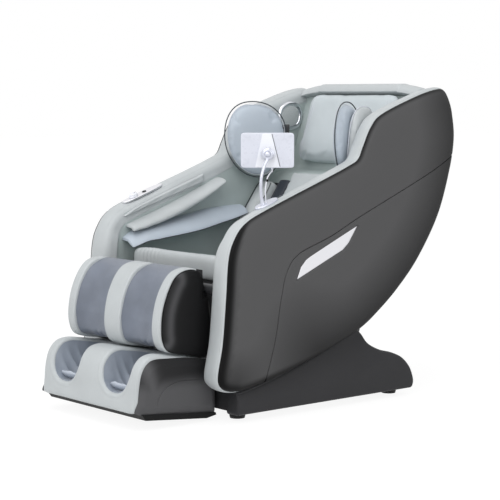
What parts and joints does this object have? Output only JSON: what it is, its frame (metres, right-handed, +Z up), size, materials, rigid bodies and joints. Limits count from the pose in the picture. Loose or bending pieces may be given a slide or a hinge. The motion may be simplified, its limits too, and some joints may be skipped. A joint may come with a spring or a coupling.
{
  "type": "massage chair",
  "caption": "Reclining massage chair with enclosing side panels, forearm channels, shoulder pads, lifting calf and foot rest and a tablet holder on the left arm.",
  "frame": {"origin": "on the floor, under the middle of the chair's bounding box", "axes": "+Z up; the sitter looks along -Y, with the foot rest at the -Y end; +X is the sitter's left"},
  "size_m": [0.81, 1.336, 1.1116],
  "materials": {
    "steel": "satin black powder coat",
    "bare_steel": "drawn steel",
    "black_plastic": "fine-textured satin black",
    "panel_black": "satin charcoal with a soft leather grain",
    "silver_plate": "pearl silver, bare",
    "grey_leather": "light grey synthetic leather",
    "blue_grey_leather": "pale blue-grey synthetic leather",
    "wall_leather": "greenish grey synthetic leather",
    "black_leather": "semi-gloss black synthetic leather",
    "slate_fabric": "slate elastic fabric with a light sheen",
    "navy_fabric": "dark navy mesh fabric",
    "white_plastic": "pearl white",
    "grey_plastic": "satin grey",
    "dark_plastic": "satin black",
    "red_plastic": "gloss",
    "rubber": "matt",
    "wheel_plastic": "satin tan"
  },
  "bodies": {
    "base": {"base_frame": "steel", "base_cover_left": "black_plastic", "base_cover_right": "black_plastic", "base_front_cover": "black_plastic", "rubber_feet": "rubber", "power_box": "grey_plastic", "power_inlet": "dark_plastic"},
    "power_switch": {"power_switch": "red_plastic"},
    "tilt_motor": {"tilt_motor": "grey_plastic"},
    "tilt_rod": {"tilt_rod": "bare_steel"},
    "shell": {"pivot_shafts": "bare_steel", "seat_frame": "steel", "seat_pan": "black_plastic", "side_panel_left": "panel_black", "side_panel_right": "panel_black", "side_strip_left": "panel_black", "side_strip_right": "panel_black", "side_plates": "silver_plate", "side_trim_left": "grey_leather", "side_trim_right": "grey_leather", "inner_wall_left": "wall_leather", "inner_wall_right": "wall_leather", "armrest_pads": "grey_leather", "arm_channel_upper": "grey_leather", "arm_channel_lower": "blue_grey_leather", "seat_cushion": "wall_leather", "seat_front_roll": "grey_leather", "back_pad": "grey_leather", "back_strips": "navy_fabric", "back_bolsters": "grey_leather", "head_cushion": "blue_grey_leather", "hood": "grey_leather", "back_shell": "black_plastic", "roller_rails": "bare_steel", "speakers": "white_plastic", "shoulder_airbags": "grey_leather", "wing_brackets": "steel", "control_plate": "silver_plate", "tablet_stand": "white_plastic", "tablet_cable": "white_plastic"},
    "control_knob": {"control_knob": "white_plastic"},
    "control_button": {"control_button": "dark_plastic"},
    "wing_left": {"wing_left": "blue_grey_leather"},
    "wing_right": {"wing_right": "blue_grey_leather"},
    "roller_carriage": {"roller_carriage": "steel"},
    "kneading_wheels": {"kneading_wheels": "wheel_plastic"},
    "tablet_joint": {"tablet_joint": "white_plastic"},
    "tablet": {"tablet": "white_plastic"},
    "legrest": {"legrest_frame": "steel", "calf_shell": "black_plastic", "calf_ridges": "grey_leather", "calf_liners": "slate_fabric", "calf_pods": "black_leather"},
    "leg_motor": {"leg_motor": "grey_plastic"},
    "leg_rod": {"leg_rod": "bare_steel"},
    "footrest": {"foot_cover": "grey_leather", "foot_liners": "slate_fabric", "foot_sides": "black_leather", "foot_sole": "dark_plastic", "foot_rails": "bare_steel"}
  },
  "joints": [
    {"name": "recline", "type": "hinge", "parent": "base", "child": "shell", "pos_m": [0, 0.24, 0.205], "axis": [-1, 0, 0], "range_deg": [0, 30]},
    {"name": "tilt_motor_swing", "type": "hinge", "parent": "base", "child": "tilt_motor", "pos_m": [0, -0.06, 0.062], "axis": [-1, 0, 0], "range_deg": [-1, 9]},
    {"name": "tilt_rod_push", "type": "slide", "parent": "tilt_motor", "child": "tilt_rod", "axis": [0, 0.2445, 0.9697], "range_m": [-0.002, 0.13]},
    {"name": "legrest_lift", "type": "hinge", "parent": "shell", "child": "legrest", "pos_m": [0, -0.36, 0.44], "axis": [-1, 0, 0], "range_deg": [0, 65]},
    {"name": "leg_motor_swing", "type": "hinge", "parent": "shell", "child": "leg_motor", "pos_m": [0, -0.07, 0.3], "axis": [-1, 0, 0], "range_deg": [-1, 9]},
    {"name": "leg_rod_push", "type": "slide", "parent": "leg_motor", "child": "leg_rod", "axis": [0, -0.9947, 0.1029], "range_m": [-0.002, 0.112]},
    {"name": "foot_extend", "type": "slide", "parent": "legrest", "child": "footrest", "axis": [0, -0.0923, -0.9957], "range_m": [0, 0.12]},
    {"name": "roller_travel", "type": "slide", "parent": "shell", "child": "roller_carriage", "axis": [0, 0.5807, 0.8141], "range_m": [-0.015, 0.12]},
    {"name": "knead_spin", "type": "hinge", "parent": "roller_carriage", "child": "kneading_wheels", "pos_m": [0, 0.31752, 0.57382], "axis": [1, 0, 0], "continuous": true},
    {"name": "wing_left_squeeze", "type": "hinge", "parent": "shell", "child": "wing_left", "pos_m": [0.20907, 0.39638, 0.905], "axis": [0, 0, -1], "range_deg": [0, 12], "stiffness_Nm_per_rad": 40},
    {"name": "wing_right_squeeze", "type": "hinge", "parent": "shell", "child": "wing_right", "pos_m": [-0.20907, 0.39638, 0.905], "axis": [0, 0, 1], "range_deg": [0, 12], "stiffness_Nm_per_rad": 40},
    {"name": "knob_turn", "type": "hinge", "parent": "shell", "child": "control_knob", "pos_m": [-0.35, -0.21858, 0.71069], "axis": [0, -0.3363, 0.9417], "range_deg": [-135, 135]},
    {"name": "button_press", "type": "slide", "parent": "shell", "child": "control_button", "axis": [0, 0.3363, -0.9417], "range_m": [0, 0.0015], "stiffness_N_per_m": 500, "springref_m": -0.0006},
    {"name": "switch_rock", "type": "hinge", "parent": "base", "child": "power_switch", "pos_m": [-0.02, 0.4238, 0.092], "axis": [1, 0, 0], "range_deg": [0, 18]},
    {"name": "tablet_swivel", "type": "hinge", "parent": "shell", "child": "tablet_joint", "pos_m": [0.345, -0.17605, 0.87605], "axis": [0, 0, 1], "range_deg": [-30, 30]},
    {"name": "tablet_tilt", "type": "hinge", "parent": "tablet_joint", "child": "tablet", "pos_m": [0.33198, -0.16512, 0.87605], "axis": [0.6428, 0.766, 0], "range_deg": [-20, 20]}
  ],
  "couplings": [
    {"joint": "tilt_motor_swing", "follows": "recline", "ratio": 0.26242},
    {"joint": "tilt_rod_push", "follows": "recline", "m_per_rad": 0.24255},
    {"joint": "leg_motor_swing", "follows": "legrest_lift", "ratio": 0.11673},
    {"joint": "leg_rod_push", "follows": "legrest_lift", "m_per_rad": 0.096265}
  ]
}
